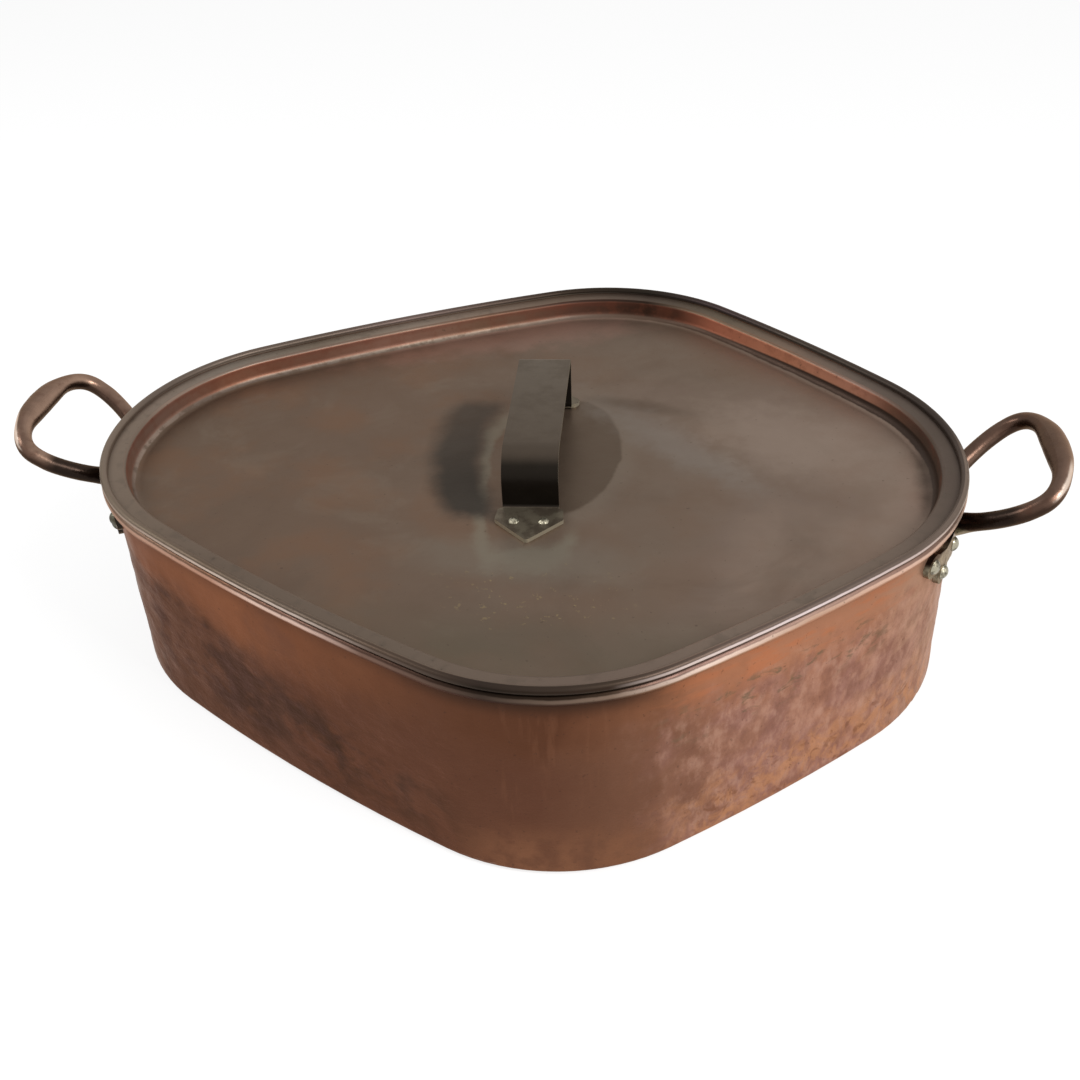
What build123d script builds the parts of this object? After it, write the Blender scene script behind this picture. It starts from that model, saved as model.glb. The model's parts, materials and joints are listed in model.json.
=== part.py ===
from build123d import *
import math
import os

os.makedirs("parts", exist_ok=True)

# Driving dimensions, in millimetres and degrees.
# Plan of the rim: four round corners joined by slightly bowed sides.
rim_length = 530.0       # left tip to right tip over the beaded edge
rim_width = 459.0        # front corner to back corner over the beaded edge
rim_height = 131.7       # top of the beaded edge above the table
corner_shift = 34.6      # the two wide corners stand this far right of the middle
right_tip_r = 144.0
left_tip_r = 137.2
corner_r = 125.1
side_r = 1266.0

# Pan sheet, its rolled edge and the seam between wall strip and base.
pan_sheet = 1.5
bead_d = 7.0
wire_fit = 0.1           # radial play of a wire inside its roll
wall_draft = 2.1         # the wall leans in by this much from bead to seam
seam_z = 12.0
base_edge_r = 5.0

# Lid sheet, its rolled edge, flange and sunk panel.
lid_sheet = 1.2
roll_d = 4.9
roll_inset = 2.6         # centre of the lid's roll inside the rim's outer edge
lid_gap = 0.3            # play between the lid and the pan's bead
flange_inset = 15.0
well_lean = 1.5
well_depth = 12.0        # panel top below the top of the bead
well_bend_r = 6.5
flange_bend_r = 2.0

# Strap handle on the lid.
strap_width = 33.4
strap_sheet = 2.4
strap_x = 8.1
strap_turn = 4.4
strap_rise = 23.5        # top of the strap above the top of the bead
strap_near = -49.7       # near leg, along the strap
strap_far = 77.2         # far top corner, along the strap
far_leg_lean = 6.0
near_leg_lean = 2.0
near_bend_r = 18.0
tight_bend_r = 3.0
tab_neck = 38.5
tab_root = 7.0           # the strip runs this far into a tab
tab_point = 21.4         # length of a tab's point
near_tab_width = 40.6
near_tab_side = 15.0     # length of the tab's slanted sides
near_tab_corner_r = 2.5
far_tab_width = 45.0
far_tab_side = 9.0
far_tab_corner_r = 4.5
tab_rivet_pitch = 17.5
tab_rivet_out = 16.5     # rivets beyond the foot of the leg

# Loop handles: rod bent in a plane that rises from the wall.
rod_d = 10.5
grip_swell = 2.4         # extra radius in the middle of the grip
grip_half = 29.1
handle_y = -5.0          # both handles stand this far to the front
loop_rise = 34.9
loop_root_y = 23.2
loop_root_drop = 18.8    # root of the rod below the top of the bead
left_loop_turn = 0.6
right_loop_turn = 4.3
root_flare = 1.0
flare_length = 16.0

# Lugs at the ends of the loops, three rivets each: distance along the wall from the
# handle's middle, and drop below the top of the bead.
lug_sheet = 3.0
lug_lobe_d = 15.0
lug_waist = 13.0
lug_hub = (50.0, 25.0)
lug_inner_rivet = (32.5, 26.5)
lug_outer_rivet = (67.0, 21.0)
lug_low_rivet = (51.0, 34.0)

# Rivets.
lug_shank_d = 5.0
lug_head_d = 9.0
lug_head_h = 3.0
strap_shank_d = 3.6
strap_head_d = 6.5
strap_head_h = 1.6
rivet_fit = 0.05         # radial play of a shank in its hole

# Perforated drainer.
drainer_sheet = 1.5
drainer_inset = 18.0
drainer_top_z = 14.0
drainer_gap = 0.3        # play under the drainer's turned-down edge
drainer_edge_r = 3.0
hole_d = 10.0
hole_pitch = 46.0
hole_margin = 36.0       # hole centres keep this far inside the rim's outer edge
hole_clear = 4.0         # holes keep this far from the lifting handles' pads
bail_wire_d = 6.0
bail_inset = 69.0        # lifting handles inside the drainer's edge
bail_half = 33.0
lid_headroom = 12.0      # lifting handles below the lid's panel
bail_bend_r = 16.0
pad_length = 30.0
pad_width = 14.0
pad_sheet = 2.5
pad_rivet_pitch = 15.0
bail_shank_d = 3.6
bail_head_d = 7.0
bail_head_h = 1.6

# Positions that follow from the driving dimensions.
bead_r = bead_d / 2
bead_z = rim_height - bead_r
pan_wire_r = bead_r - pan_sheet - wire_fit
wall_top_inset = bead_d - pan_sheet
wall_foot_inset = wall_top_inset + wall_draft
roll_r = roll_d / 2
lid_wire_r = roll_r - lid_sheet - wire_fit
roll_z = bead_z + math.sqrt((bead_r + roll_r + lid_gap) ** 2 - (bead_r - roll_inset) ** 2)
flange_mid_z = rim_height + lid_gap + lid_sheet / 2
panel_top_z = rim_height - well_depth
panel_mid_z = panel_top_z - lid_sheet / 2
panel_inset = flange_inset + well_lean + 2 * well_bend_r
draft_angle = math.degrees(math.atan2(wall_draft, bead_z - seam_z))
loop_root_z = rim_height - loop_root_drop
lug_hub_z = rim_height - lug_hub[1]
lug_rivet_spots = [(along, rim_height - drop) for along, drop in (lug_inner_rivet, lug_outer_rivet, lug_low_rivet)]
bail_x = rim_length / 2 - drainer_inset - bail_inset
bail_top_z = panel_top_z - lid_sheet - lid_headroom

right_c = (rim_length / 2 - right_tip_r, 0)
back_c = (corner_shift, rim_width / 2 - corner_r)
left_c = (left_tip_r - rim_length / 2, 0)
front_c = (corner_shift, corner_r - rim_width / 2)
corners = [(right_c, right_tip_r), (back_c, corner_r), (left_c, left_tip_r), (front_c, corner_r)]


def side_arc(first, second):
    """centre, start and turn of the shallow arc that touches two corners in turn"""
    (ax, ay), a_r = first
    (bx, by), b_r = second
    span = math.hypot(bx - ax, by - ay)
    ux, uy = (bx - ax) / span, (by - ay) / span
    along = ((side_r - a_r) ** 2 - (side_r - b_r) ** 2 + span ** 2) / (2 * span)
    inwards = math.sqrt((side_r - a_r) ** 2 - along ** 2)
    cx, cy = ax + ux * along - uy * inwards, ay + uy * along + ux * inwards
    start = math.degrees(math.atan2(ay - cy, ax - cx)) % 360
    end = math.degrees(math.atan2(by - cy, bx - cx)) % 360
    return (cx, cy), start, (end - start) % 360


sides = [side_arc(corners[i], corners[(i + 1) % 4]) for i in range(4)]

# The rim as eight arcs in turn: centre, radius, start and turn.
rim_arcs = []
for i, (corner_c, r) in enumerate(corners):
    before_c, before_start, before_turn = sides[i - 1]
    side_c, side_start, side_turn = sides[i]
    corner_start = before_start + before_turn
    rim_arcs.append((corner_c, r, corner_start, (side_start - corner_start) % 360))
    rim_arcs.append((side_c, side_r, side_start, side_turn))


def rim_face(inset):
    """flat face inside the rim outline moved inwards"""
    with BuildSketch() as face:
        with BuildLine():
            for centre, r, start, turn in rim_arcs:
                CenterArc(centre, r - inset, start, turn)
        make_face()
    return face.sketch


def round_rim(section):
    """carry a section, drawn with its x axis out from the rim's edge, once round the rim"""
    with BuildPart() as ring:
        for (cx, cy), r, start, turn in rim_arcs:
            c, s = math.cos(math.radians(start)), math.sin(math.radians(start))
            with BuildSketch(Plane(origin=(cx + r * c, cy + r * s, 0), x_dir=(c, s, 0), z_dir=(s, -c, 0))):
                add(section)
            revolve(axis=Axis((cx, cy, 0), (0, 0, 1)), revolution_arc=turn)
    return ring.part


def rivet(shank_d, grip, head_d, head_h):
    """domed head on z = 0, shank down through the sheets, hammered tail below them"""
    head_r = head_d / 2
    shank_r = shank_d / 2
    tail_r = 0.8 * head_r
    dome_r = (head_r ** 2 + head_h ** 2) / (2 * head_h)
    half = math.asin(head_r / dome_r) / 2
    with BuildPart() as one:
        with BuildSketch(Plane.XZ):
            with BuildLine():
                ThreePointArc((0, head_h), (dome_r * math.sin(half), head_h - dome_r + dome_r * math.cos(half)),
                              (head_r, 0))
                Polyline((head_r, 0), (shank_r, 0), (shank_r, -grip), (tail_r, -grip),
                         (0.7 * tail_r, -grip - head_h / 2), (0, -grip - head_h / 2), (0, head_h))
            make_face()
        revolve(axis=Axis.Z)
    return one.part


# Lugs are placed on the wall round each tip.
def wall_face_r(tip_r, z):
    """radius of the wall's outer face round a tip at a height"""
    return tip_r - wall_top_inset - wall_draft * (bead_z - z) / (bead_z - seam_z)


def lug_swing(tip_r, z, lug_side, along):
    """turn round a tip, from its middle, to a spot on the wall"""
    return (handle_y + lug_side * along) / wall_face_r(tip_r, z)


def lug_rivet_planes(side, tip_c, tip_r, lug_side):
    """planes on the outside of one lug, square to the wall, at its three rivets"""
    lean = math.radians(draft_angle)
    planes = []
    for along, z in lug_rivet_spots:
        swing = lug_swing(tip_r, z, lug_side, along)
        c, s = side * math.cos(swing), math.sin(swing)
        reach = wall_face_r(tip_r, z) + lug_sheet * math.cos(lean)
        planes.append(Plane(origin=(tip_c[0] + reach * c, reach * s, z - lug_sheet * math.sin(lean)),
                            x_dir=(-s, c, 0), z_dir=(c * math.cos(lean), s * math.cos(lean), -math.sin(lean))))
    return planes


tips = [("left", -1, left_c, left_tip_r, left_loop_turn), ("right", 1, right_c, right_tip_r, right_loop_turn)]

# Pan wall: a strip with its top edge rolled outwards round a wire.
with BuildSketch() as wall_section:
    with Locations((-bead_r, bead_z)):
        Circle(bead_r)
    with BuildLine():
        Polyline((-wall_foot_inset, seam_z), (-wall_top_inset, bead_z), (-wall_top_inset - pan_sheet, bead_z),
                 (-wall_foot_inset - pan_sheet, seam_z), close=True)
    make_face()
    with Locations((-bead_r, bead_z)):
        Circle(pan_wire_r + wire_fit, mode=Mode.SUBTRACT)

with BuildPart() as pan_wall:
    add(round_rim(wall_section.sketch))
    for name, side, tip_c, tip_r, turn in tips:
        for lug_side in (-1, 1):
            with Locations(*lug_rivet_planes(side, tip_c, tip_r, lug_side)):
                Cylinder(lug_shank_d / 2 + rivet_fit, 4 * lug_sheet + 4 * pan_sheet, mode=Mode.SUBTRACT)
pan_wall.part.label = "pan_wall"
export_step(pan_wall.part, "parts/pan_wall.step")

# Pan base: a flat sheet turned up at its edge to meet the wall strip.
with BuildSketch() as base_section:
    with BuildLine() as base_line:
        FilletPolyline((-wall_foot_inset - pan_sheet / 2, seam_z), (-wall_foot_inset - pan_sheet / 2, pan_sheet / 2),
                       (-wall_foot_inset - 3 * base_edge_r, pan_sheet / 2), radius=base_edge_r - pan_sheet / 2)
    trace(line_width=pan_sheet)

with BuildPart() as pan_base:
    add(round_rim(base_section.sketch))
    with BuildSketch():
        add(rim_face(wall_foot_inset + 3 * base_edge_r))
    extrude(amount=pan_sheet)
pan_base.part.label = "pan_base"
export_step(pan_base.part, "parts/pan_base.step")

# Wire inside the pan's rolled edge.
with BuildSketch() as pan_wire_section:
    with Locations((-bead_r, bead_z)):
        Circle(pan_wire_r)

with BuildPart() as pan_rim_wire:
    add(round_rim(pan_wire_section.sketch))
pan_rim_wire.part.label = "pan_rim_wire"
export_step(pan_rim_wire.part, "parts/pan_rim_wire.step")

# Loop handles: bent rod, thicker in the grip, with a three-lobed lug forged at each end.
loop_half = [(-7, 19.5), (0, loop_root_y), (14.5, 33.1), (32.5, 42.3), (41.4, 44.6), (49.5, 44.5), (56.2, 41),
             (61.1, 34), (64.1, 25.6), (66.1, 8.6)]
loop_points = [(u, -v) for u, v in loop_half] + [(u, v) for u, v in reversed(loop_half)]
loop_sections = 27
lug_spots = lug_rivet_spots + [(loop_root_y, loop_root_z)]

for name, side, tip_c, tip_r, turn in tips:
    root_x = side * tip_c[0] + math.sqrt(wall_face_r(tip_r, loop_root_z) ** 2 - loop_root_y ** 2)
    out_x = side * math.cos(math.radians(turn))
    out_y = math.sin(math.radians(turn))
    rise = math.radians(loop_rise)
    loop_plane = Plane(origin=(side * root_x, handle_y, loop_root_z),
                       x_dir=(out_x * math.cos(rise), out_y * math.cos(rise), math.sin(rise)),
                       z_dir=(-out_x * math.sin(rise), -out_y * math.sin(rise), math.cos(rise)))
    with BuildLine(loop_plane) as loop_line:
        Spline(*[(u, side * v) for u, v in loop_points])
    loop_edge = loop_line.edges()[0]

    with BuildPart() as handle:
        for lug_side in (-1, 1):
            hub_r = wall_face_r(tip_r, lug_hub_z)
            swing = lug_swing(tip_r, lug_hub_z, lug_side, lug_hub[0])
            away_x, away_y = -lug_side * side * math.sin(swing), lug_side * math.cos(swing)
            with BuildSketch(Plane(origin=(tip_c[0] + side * hub_r * math.cos(swing), hub_r * math.sin(swing), 0),
                                   x_dir=(away_x, away_y, 0), z_dir=(away_y, -away_x, 0))):
                for along, z in lug_spots:
                    lobe_c = (hub_r * math.sin((along - lug_hub[0]) / hub_r), z)
                    with Locations(lobe_c):
                        Circle(lug_lobe_d / 2)
                    with BuildLine():
                        waist = Line((0, lug_hub_z), lobe_c)
                    trace(waist, line_width=lug_waist)
                with Locations((0, lug_hub_z)):
                    Circle(lug_waist / 2)
            extrude(amount=lug_lobe_d, both=True)
        foot_z = rim_height - lug_low_rivet[1] - lug_lobe_d
        top_z = bead_z
        with BuildSketch(Plane.XZ):
            with BuildLine():
                Polyline((tip_c[0] + side * wall_face_r(tip_r, foot_z), foot_z),
                         (tip_c[0] + side * wall_face_r(tip_r, top_z), top_z),
                         (tip_c[0] + side * (wall_face_r(tip_r, top_z) + lug_sheet), top_z),
                         (tip_c[0] + side * (wall_face_r(tip_r, foot_z) + lug_sheet), foot_z), close=True)
            make_face()
        revolve(axis=Axis((*tip_c, 0), (0, 0, 1)), mode=Mode.INTERSECT)
        for i in range(loop_sections):
            t = i / (loop_sections - 1)
            spot = loop_edge.position_at(t)
            along = loop_edge.tangent_at(t)
            local = loop_plane.to_local_coords(spot)
            swell = grip_swell * max(0, 1 - (local.Y / grip_half) ** 2) * (local.X > grip_half)
            flare = root_flare * max(0, 1 - max(0, local.X) / flare_length) ** 2
            with BuildSketch(Plane(origin=spot, x_dir=loop_plane.z_dir, z_dir=along)):
                Ellipse(rod_d / 2 + 2 * flare + swell / 4, rod_d / 2 + flare + swell)
        loft()
        with BuildSketch(Plane.XZ):
            with BuildLine():
                Polyline((tip_c[0], foot_z), (tip_c[0], rim_height),
                         (tip_c[0] + side * wall_face_r(tip_r, rim_height), rim_height),
                         (tip_c[0] + side * wall_face_r(tip_r, foot_z), foot_z), close=True)
            make_face()
        revolve(axis=Axis((*tip_c, 0), (0, 0, 1)), mode=Mode.SUBTRACT)
        for lug_side in (-1, 1):
            with Locations(*lug_rivet_planes(side, tip_c, tip_r, lug_side)):
                Cylinder(lug_shank_d / 2 + rivet_fit, 4 * lug_sheet + 4 * pan_sheet, mode=Mode.SUBTRACT)
    handle.part.label = name + "_handle"
    export_step(handle.part, "parts/" + name + "_handle.step")

    for where, lug_side in (("near", -1), ("far", 1)):
        with BuildPart() as lug_rivets:
            with Locations(*lug_rivet_planes(side, tip_c, tip_r, lug_side)):
                add(rivet(lug_shank_d, lug_sheet + pan_sheet + rivet_fit, lug_head_d, lug_head_h))
        lug_rivets.part.label = name + "_" + where + "_lug_rivets"
        export_step(lug_rivets.part, "parts/" + name + "_" + where + "_lug_rivets.step")

# Lid: rolled edge, flange over the bead, steep wall and flat sunk panel in one sheet.
with BuildSketch() as lid_section:
    with Locations((-roll_inset, roll_z)):
        Circle(roll_r)
    with BuildLine():
        FilletPolyline((-roll_inset - roll_r / 2, flange_mid_z), (-flange_inset, flange_mid_z),
                       (-flange_inset - well_lean, panel_mid_z), (-panel_inset, panel_mid_z),
                       radius=(flange_bend_r, well_bend_r))
    trace(line_width=lid_sheet)
    with Locations((-roll_inset, roll_z)):
        Circle(lid_wire_r + wire_fit, mode=Mode.SUBTRACT)


def strap_spot(across, along, z):
    """point given across and along the strap"""
    c, s = math.cos(math.radians(strap_turn)), math.sin(math.radians(strap_turn))
    return (strap_x + across * c - along * s, across * s + along * c, z)


near_foot = strap_near + near_leg_lean
far_foot = strap_far - far_leg_lean
tab_top_z = panel_top_z + strap_sheet
rivet_rows = [("near", near_foot - tab_rivet_out), ("far", far_foot + tab_rivet_out)]

with BuildPart() as lid_panel:
    add(round_rim(lid_section.sketch))
    with BuildSketch(Plane.XY.offset(panel_top_z - lid_sheet)):
        add(rim_face(panel_inset))
    extrude(amount=lid_sheet)
    for where, row in rivet_rows:
        for across in (-tab_rivet_pitch / 2, tab_rivet_pitch / 2):
            with Locations(strap_spot(across, row, panel_top_z)):
                Cylinder(strap_shank_d / 2 + rivet_fit, 4 * strap_sheet, mode=Mode.SUBTRACT)
lid_panel.part.label = "lid_panel"
export_step(lid_panel.part, "parts/lid_panel.step")

# Wire inside the lid's rolled edge.
with BuildSketch() as lid_wire_section:
    with Locations((-roll_inset, roll_z)):
        Circle(lid_wire_r)

with BuildPart() as lid_rim_wire:
    add(round_rim(lid_wire_section.sketch))
lid_rim_wire.part.label = "lid_rim_wire"
export_step(lid_rim_wire.part, "parts/lid_rim_wire.step")

# Strap handle: bent strip with a pointed tab at each foot.
strap_mid_z = rim_height + strap_rise - strap_sheet / 2
tab_mid_z = panel_top_z + strap_sheet / 2
strap_side = Plane(origin=strap_spot(-strap_width / 2, 0, 0),
                   x_dir=(-math.sin(math.radians(strap_turn)), math.cos(math.radians(strap_turn)), 0),
                   z_dir=(math.cos(math.radians(strap_turn)), math.sin(math.radians(strap_turn)), 0))
tab_plane = Plane(origin=(strap_x, 0, panel_top_z),
                  x_dir=(math.cos(math.radians(strap_turn)), math.sin(math.radians(strap_turn)), 0), z_dir=(0, 0, 1))

tabs = [(near_foot, -1, near_tab_width, near_tab_side, near_tab_corner_r),
        (far_foot, 1, far_tab_width, far_tab_side, far_tab_corner_r)]

with BuildPart() as lid_strap_handle:
    with BuildSketch(strap_side):
        with BuildLine():
            FilletPolyline((near_foot - tab_root, tab_mid_z), (near_foot, tab_mid_z), (strap_near, strap_mid_z),
                           (strap_far, strap_mid_z), (far_foot, tab_mid_z), (far_foot + tab_root, tab_mid_z),
                           radius=(tight_bend_r, near_bend_r, tight_bend_r, tight_bend_r))
        trace(line_width=strap_sheet)
    extrude(amount=strap_width)
    for foot, way, tab_width, tab_side, tab_corner_r in tabs:
        with BuildSketch(tab_plane):
            with BuildLine():
                Polyline((-tab_neck / 2, foot + way * tight_bend_r), (tab_neck / 2, foot + way * tight_bend_r),
                         (tab_width / 2, foot + way * tab_side), (0, foot + way * (tab_side + tab_point)),
                         (-tab_width / 2, foot + way * tab_side), close=True)
            make_face()
            fillet(vertices(), radius=tab_corner_r)
        extrude(amount=strap_sheet)
    for where, row in rivet_rows:
        for across in (-tab_rivet_pitch / 2, tab_rivet_pitch / 2):
            with Locations(strap_spot(across, row, panel_top_z)):
                Cylinder(strap_shank_d / 2 + rivet_fit, 4 * strap_sheet, mode=Mode.SUBTRACT)
lid_strap_handle.part.label = "lid_strap_handle"
export_step(lid_strap_handle.part, "parts/lid_strap_handle.step")

for where, row in rivet_rows:
    with BuildPart() as strap_rivets:
        for across in (-tab_rivet_pitch / 2, tab_rivet_pitch / 2):
            with Locations(strap_spot(across, row, tab_top_z)):
                add(rivet(strap_shank_d, strap_sheet + lid_sheet, strap_head_d, strap_head_h))
    strap_rivets.part.label = "strap_" + where + "_rivets"
    export_step(strap_rivets.part, "parts/strap_" + where + "_rivets.step")

# Drainer: perforated plate with a turned-down edge that stands on the base.
drainer_mid_z = drainer_top_z - drainer_sheet / 2
drainer_foot_z = pan_sheet + drainer_gap

with BuildSketch() as drainer_section:
    with BuildLine():
        FilletPolyline((-drainer_inset - drainer_sheet / 2, drainer_foot_z),
                       (-drainer_inset - drainer_sheet / 2, drainer_mid_z),
                       (-drainer_inset - 3 * drainer_edge_r, drainer_mid_z), radius=drainer_edge_r)
    trace(line_width=drainer_sheet)


def well_inside(x, y):
    """true where a hole keeps its margin to the rim"""
    for (cx, cy), start, turn in sides:
        if math.hypot(x - cx, y - cy) > side_r - hole_margin:
            return False
    return abs(x) < rim_length / 2 - hole_margin and abs(y) < rim_width / 2 - hole_margin


def near_pad(x, y):
    """true where a hole would come close to a lifting handle's pads"""
    reach = pad_width / 2 + hole_d / 2 + hole_clear
    return abs(abs(x) - bail_x) < reach and abs(y) < bail_half + pad_length


hole_spots = []
for row in range(-8, 9):
    for column in range(-8, 9):
        x = hole_pitch * (column + 0.5 * (row % 2))
        y = hole_pitch * row * math.sin(math.radians(60))
        if well_inside(x, y) and not near_pad(x, y):
            hole_spots.append((x, y))

pad_rivet_ys = [way * (bail_half - pad_length / 2 + step * pad_rivet_pitch / 2) for way in (-1, 1) for step in (-1, 1)]

with BuildPart() as drainer_plate:
    add(round_rim(drainer_section.sketch))
    with BuildSketch(Plane.XY.offset(drainer_top_z - drainer_sheet)):
        add(rim_face(drainer_inset + 3 * drainer_edge_r))
    extrude(amount=drainer_sheet)
    with Locations(*[(x, y, drainer_mid_z) for x, y in hole_spots]):
        Cylinder(hole_d / 2, 2 * drainer_sheet, mode=Mode.SUBTRACT)
    with Locations(*[(way * bail_x, y, drainer_mid_z) for way in (-1, 1) for y in pad_rivet_ys]):
        Cylinder(bail_shank_d / 2 + rivet_fit, 2 * drainer_sheet, mode=Mode.SUBTRACT)
drainer_plate.part.label = "drainer_plate"
export_step(drainer_plate.part, "parts/drainer_plate.step")

# Lifting handles of the drainer: upright wire loops on flat pads.
for name, way in (("left", -1), ("right", 1)):
    with BuildPart() as bail:
        with BuildLine(Plane(origin=(way * bail_x, 0, 0), x_dir=(0, 1, 0), z_dir=(1, 0, 0))) as bail_line:
            FilletPolyline((-bail_half, drainer_top_z), (-bail_half, bail_top_z - bail_wire_d / 2),
                           (bail_half, bail_top_z - bail_wire_d / 2), (bail_half, drainer_top_z), radius=bail_bend_r)
        with BuildSketch(Plane(origin=(way * bail_x, -bail_half, drainer_top_z), z_dir=(0, 0, 1))):
            Circle(bail_wire_d / 2)
        sweep(path=bail_line.wires()[0])
        with BuildSketch(Plane.XY.offset(drainer_top_z)):
            with Locations(*[(way * bail_x, step * (bail_half - pad_length / 2)) for step in (-1, 1)]):
                RectangleRounded(pad_width, pad_length + bail_wire_d + pad_sheet, pad_width / 3)
        extrude(amount=pad_sheet)
        with Locations(*[(way * bail_x, y, drainer_top_z) for y in pad_rivet_ys]):
            Cylinder(bail_shank_d / 2 + rivet_fit, 4 * pad_sheet, mode=Mode.SUBTRACT)
    bail.part.label = "drainer_" + name + "_handle"
    export_step(bail.part, "parts/drainer_" + name + "_handle.step")

    with BuildPart() as bail_rivets:
        with Locations(*[(way * bail_x, y, drainer_top_z + pad_sheet) for y in pad_rivet_ys]):
            add(rivet(bail_shank_d, pad_sheet + drainer_sheet, bail_head_d, bail_head_h))
    bail_rivets.part.label = "drainer_" + name + "_rivets"
    export_step(bail_rivets.part, "parts/drainer_" + name + "_rivets.step")
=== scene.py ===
import json
import math

import bpy
import numpy as np
from mathutils import Matrix, Vector


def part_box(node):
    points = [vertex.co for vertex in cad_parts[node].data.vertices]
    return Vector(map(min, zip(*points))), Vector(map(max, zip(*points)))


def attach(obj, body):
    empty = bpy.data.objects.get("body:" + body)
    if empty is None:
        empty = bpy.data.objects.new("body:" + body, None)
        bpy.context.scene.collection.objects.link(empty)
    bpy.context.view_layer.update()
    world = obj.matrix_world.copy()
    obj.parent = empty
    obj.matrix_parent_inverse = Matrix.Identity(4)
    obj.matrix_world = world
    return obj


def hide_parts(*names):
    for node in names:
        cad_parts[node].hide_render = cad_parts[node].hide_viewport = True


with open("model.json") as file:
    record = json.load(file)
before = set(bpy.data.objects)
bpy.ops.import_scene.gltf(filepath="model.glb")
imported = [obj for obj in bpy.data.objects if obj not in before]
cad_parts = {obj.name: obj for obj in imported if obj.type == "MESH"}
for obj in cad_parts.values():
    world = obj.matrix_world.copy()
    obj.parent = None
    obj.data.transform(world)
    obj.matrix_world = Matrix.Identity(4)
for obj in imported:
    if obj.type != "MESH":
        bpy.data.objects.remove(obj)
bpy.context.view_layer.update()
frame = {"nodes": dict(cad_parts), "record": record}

MM = 0.001

# Photograph's camera, found from the outline: a direction, a distance and a roll.
CAMERA_AZIMUTH = 10.436
CAMERA_ELEVATION = 34.495
CAMERA_ROLL = -2.604
CAMERA_DISTANCE = 0.79485
CAMERA_TARGET = Vector((0.02521, -0.09636, 0.1317))
FOCAL_PIXELS = 1424.67
IMAGE_PIXELS = 1080
SENSOR_WIDTH = 36.0

# Studio: distances in metres, power in watts.
FLOOR_SIZE = 14
FLOOR_COLOUR = (0.8, 0.8, 0.8, 1)
FLOOR_ROUGHNESS = 0.9
FLOOR_SHADE = (0.3, 0.3, 0.3, 1)
FLOOR_GLOW = 0.8
WORLD_COLOUR = (0.4, 0.4, 0.4, 1)
WHITE = (1, 1, 1, 1)
LIGHT_TARGET = (0, 0, 0.1)
KEY_PLACE, KEY_SIZE, KEY_POWER = (1.25, -0.75, 1.3), 0.8, 22
FILL_PLACE, FILL_SIZE, FILL_POWER = (-1.4, -0.2, 1.25), 0.7, 10

# Rim, sheets and rolled edges, in metres. The outer sizes come from the frame.
WALL_LOW, WALL_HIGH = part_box("pan_wall")
RIM_LENGTH = WALL_HIGH.x - WALL_LOW.x
RIM_WIDTH = WALL_HIGH.y - WALL_LOW.y
RIM_TOP = WALL_HIGH.z
SEAM_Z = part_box("pan_base")[1].z
LID_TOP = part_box("lid_panel")[1].z
CORNER_SHIFT = 34.6 * MM
RIGHT_TIP_R = 144 * MM
LEFT_TIP_R = 137.2 * MM
CORNER_R = 125.1 * MM
SIDE_R = 1266 * MM
BEAD_R = 3.5 * MM
PAN_SHEET = 1.5 * MM
WALL_DRAFT = 2.1 * MM
ROLL_R = 2.45 * MM
ROLL_INSET = 2.6 * MM
LID_SHEET = 1.2 * MM
FLANGE_INSET = 15 * MM
WELL_LEAN = 1.5 * MM
WELL_BEND_R = 6.5 * MM
FLANGE_BEND_R = 2 * MM
LID_GAP = 0.3 * MM
PANEL_TOP = RIM_TOP - 12 * MM
PANEL_CENTRE = np.array([15 * MM, 0.0])
PANEL_START = -FLANGE_INSET - WELL_LEAN - 2 * WELL_BEND_R
STRAP_SHEET = 2.4 * MM
STRAP_X = 8.1 * MM
BEAD_Z = RIM_TOP - BEAD_R
NECK_Z = BEAD_Z - BEAD_R
ROLL_Z = LID_TOP - ROLL_R
WALL_TOP_INSET = 2 * BEAD_R - PAN_SHEET
WALL_FOOT_INSET = WALL_TOP_INSET + WALL_DRAFT
CORNERS = [((RIM_LENGTH / 2 - RIGHT_TIP_R, 0), RIGHT_TIP_R),
           ((CORNER_SHIFT, RIM_WIDTH / 2 - CORNER_R), CORNER_R),
           ((LEFT_TIP_R - RIM_LENGTH / 2, 0), LEFT_TIP_R),
           ((CORNER_SHIFT, CORNER_R - RIM_WIDTH / 2), CORNER_R)]

# Handwork: hammer marks fade in below HAMMERED_TOP and are full at HAMMERED_FULL.
HAMMERED_TOP = 118 * MM
HAMMERED_FULL = 82 * MM
MARK_PITCH = 11 * MM
MARK_DEPTH = 0.55 * MM
MARK_SEED = 11
WALL_WAVE, WALL_WAVE_DEPTH, WALL_SEED = 70 * MM, 0.5 * MM, 3
PANEL_WAVE, PANEL_WAVE_DEPTH, PANEL_SEED = 130 * MM, 0.35 * MM, 5
STRAP_CALM = 45 * MM
WAVE_COUNT = 14

# Fineness of the meshes.
STEP = 3 * MM
WALL_ROWS = 40
RINGS = 60
ARC_POINTS = 24
BEND_POINTS = 8
SHARP_ANGLE = math.radians(40)


# Rim path and section tools.
def side_arc(first, second):
    """centre, start and turn of the shallow arc that touches two corners in turn"""
    (ax, ay), a_r = first
    (bx, by), b_r = second
    span = math.hypot(bx - ax, by - ay)
    ux, uy = (bx - ax) / span, (by - ay) / span
    along = ((SIDE_R - a_r) ** 2 - (SIDE_R - b_r) ** 2 + span ** 2) / (2 * span)
    inwards = math.sqrt((SIDE_R - a_r) ** 2 - along ** 2)
    cx, cy = ax + ux * along - uy * inwards, ay + uy * along + ux * inwards
    start = math.atan2(ay - cy, ax - cx) % math.tau
    return (cx, cy), start, (math.atan2(by - cy, bx - cx) - start) % math.tau


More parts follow.
